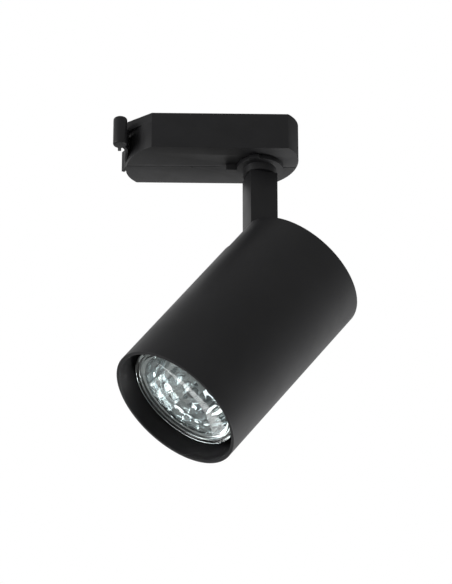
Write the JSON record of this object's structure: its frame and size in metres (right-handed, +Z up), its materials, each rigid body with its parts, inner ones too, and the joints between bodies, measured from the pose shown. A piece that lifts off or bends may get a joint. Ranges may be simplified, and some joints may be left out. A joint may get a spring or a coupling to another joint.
{
  "type": "track spotlight",
  "caption": "Black track spotlight: plug-in track adapter with a finger lever, swivelling square stem and tilting tube head with a recessed reflector lamp.",
  "frame": {"origin": "on the adapter's seating face, on the swivel axis", "axes": "+Z up into the track; X along the track with the finger lever at -X; -Y is the adapter's front"},
  "size_m": [0.1041, 0.0741, 0.16],
  "materials": {
    "black_plastic": "fine-textured black moulded nylon",
    "black_coat": "matt black powder coat",
    "black_aluminium": "aluminium with a matt black powder coat",
    "grey_plastic": "dark grey moulded plastic",
    "zinc": "bright zinc-plated steel",
    "steel": "bright turned steel",
    "spring_steel": "drawn spring steel",
    "brass": "stamped brass",
    "ceramic": "white glazed steatite",
    "nylon": "white nylon",
    "clear_glass": "clear glass",
    "mirror_glass": "pressed glass with a bright aluminium coat",
    "tungsten": "drawn tungsten",
    "brown_lead": "brown sleeve",
    "blue_lead": "blue sleeve",
    "earth_lead": "green and yellow sleeve"
  },
  "bodies": {
    "adapter": {"adapter_front_shell": "black_plastic", "adapter_back_shell": "black_plastic", "shell_screw_1": "zinc", "shell_screw_2": "zinc", "track_insert": "grey_plastic", "contact_spring_line": "spring_steel", "contact_spring_neutral": "spring_steel", "contact_spring_earth": "spring_steel", "contact_lead_line": "brown_lead", "contact_lead_neutral": "blue_lead", "contact_lead_earth": "earth_lead", "terminal_block": "ceramic", "terminal_screw_1": "brass", "terminal_screw_2": "brass", "terminal_screw_3": "brass", "swivel_bush": "brass", "lever_pin": "steel", "lever_spring": "spring_steel"},
    "line_contact": {"contact_line": "brass"},
    "neutral_contact": {"contact_neutral": "brass"},
    "earth_contact": {"contact_earth": "brass"},
    "lever": {"latch_lever": "black_plastic"},
    "lock": {"lock_slide": "zinc"},
    "arm": {"swivel_washer": "spring_steel", "swivel_nut": "zinc", "swivel_nipple": "zinc", "swivel_collar": "black_coat", "stem": "black_coat", "stem_lead_line": "brown_lead", "stem_lead_neutral": "blue_lead", "stem_lead_earth": "earth_lead"},
    "head": {"head_tube": "black_aluminium", "rear_cap": "black_aluminium", "hinge_bracket": "zinc", "friction_washer_front": "nylon", "friction_washer_back": "nylon", "hinge_bolt": "steel", "hinge_nut": "zinc", "mount_plate": "zinc", "bracket_screw_1": "zinc", "bracket_screw_2": "zinc", "holder_strap": "zinc", "lamp_holder": "ceramic", "holder_screw_1": "zinc", "holder_screw_2": "zinc", "holder_clip_a": "brass", "holder_clip_b": "brass", "head_lead_line": "brown_lead", "head_lead_neutral": "blue_lead", "head_lead_earth": "earth_lead", "earth_screw": "brass"},
    "lamp": {"lamp_glass": "clear_glass", "lamp_reflector": "mirror_glass", "lamp_base": "ceramic", "lamp_capsule": "clear_glass", "lamp_filament": "tungsten", "lamp_pin_a": "zinc", "lamp_pin_b": "zinc"}
  },
  "joints": [
    {"name": "pan_swivel", "type": "hinge", "parent": "adapter", "child": "arm", "pos_m": [0, 0, 0], "axis": [0, 0, 1], "range_deg": [-56, 266]},
    {"name": "head_tilt", "type": "hinge", "parent": "arm", "child": "head", "pos_m": [0, 0, -0.06664], "axis": [-0.2745, 0.9616, 0], "range_deg": [-37.12, 52.88]},
    {"name": "lamp_twist", "type": "hinge", "parent": "head", "child": "lamp", "pos_m": [0.0105, 0.003, -0.07491], "axis": [-0.5803, -0.1656, -0.7974], "range_deg": [0, 20]},
    {"name": "lever_pull", "type": "hinge", "parent": "adapter", "child": "lever", "pos_m": [-0.0505, 0.007, 0], "axis": [0, 0, -1], "range_deg": [0, 18], "stiffness_Nm_per_rad": 0.02, "springref_deg": -20.05},
    {"name": "lock_travel", "type": "slide", "parent": "adapter", "child": "lock", "axis": [-1, 0, 0], "range_m": [0, 0.0022]},
    {"name": "line_contact_press", "type": "slide", "parent": "adapter", "child": "line_contact", "axis": [0, 1, 0], "range_m": [0, 0.0012], "stiffness_N_per_m": 500, "springref_m": -0.001},
    {"name": "neutral_contact_press", "type": "slide", "parent": "adapter", "child": "neutral_contact", "axis": [0, -1, 0], "range_m": [0, 0.0012], "stiffness_N_per_m": 500, "springref_m": -0.001},
    {"name": "earth_contact_press", "type": "slide", "parent": "adapter", "child": "earth_contact", "axis": [0, -1, 0], "range_m": [0, 0.0012], "stiffness_N_per_m": 500, "springref_m": -0.001}
  ],
  "couplings": [
    {"joint": "lock_travel", "follows": "lever_pull", "m_per_rad": 0.007}
  ]
}
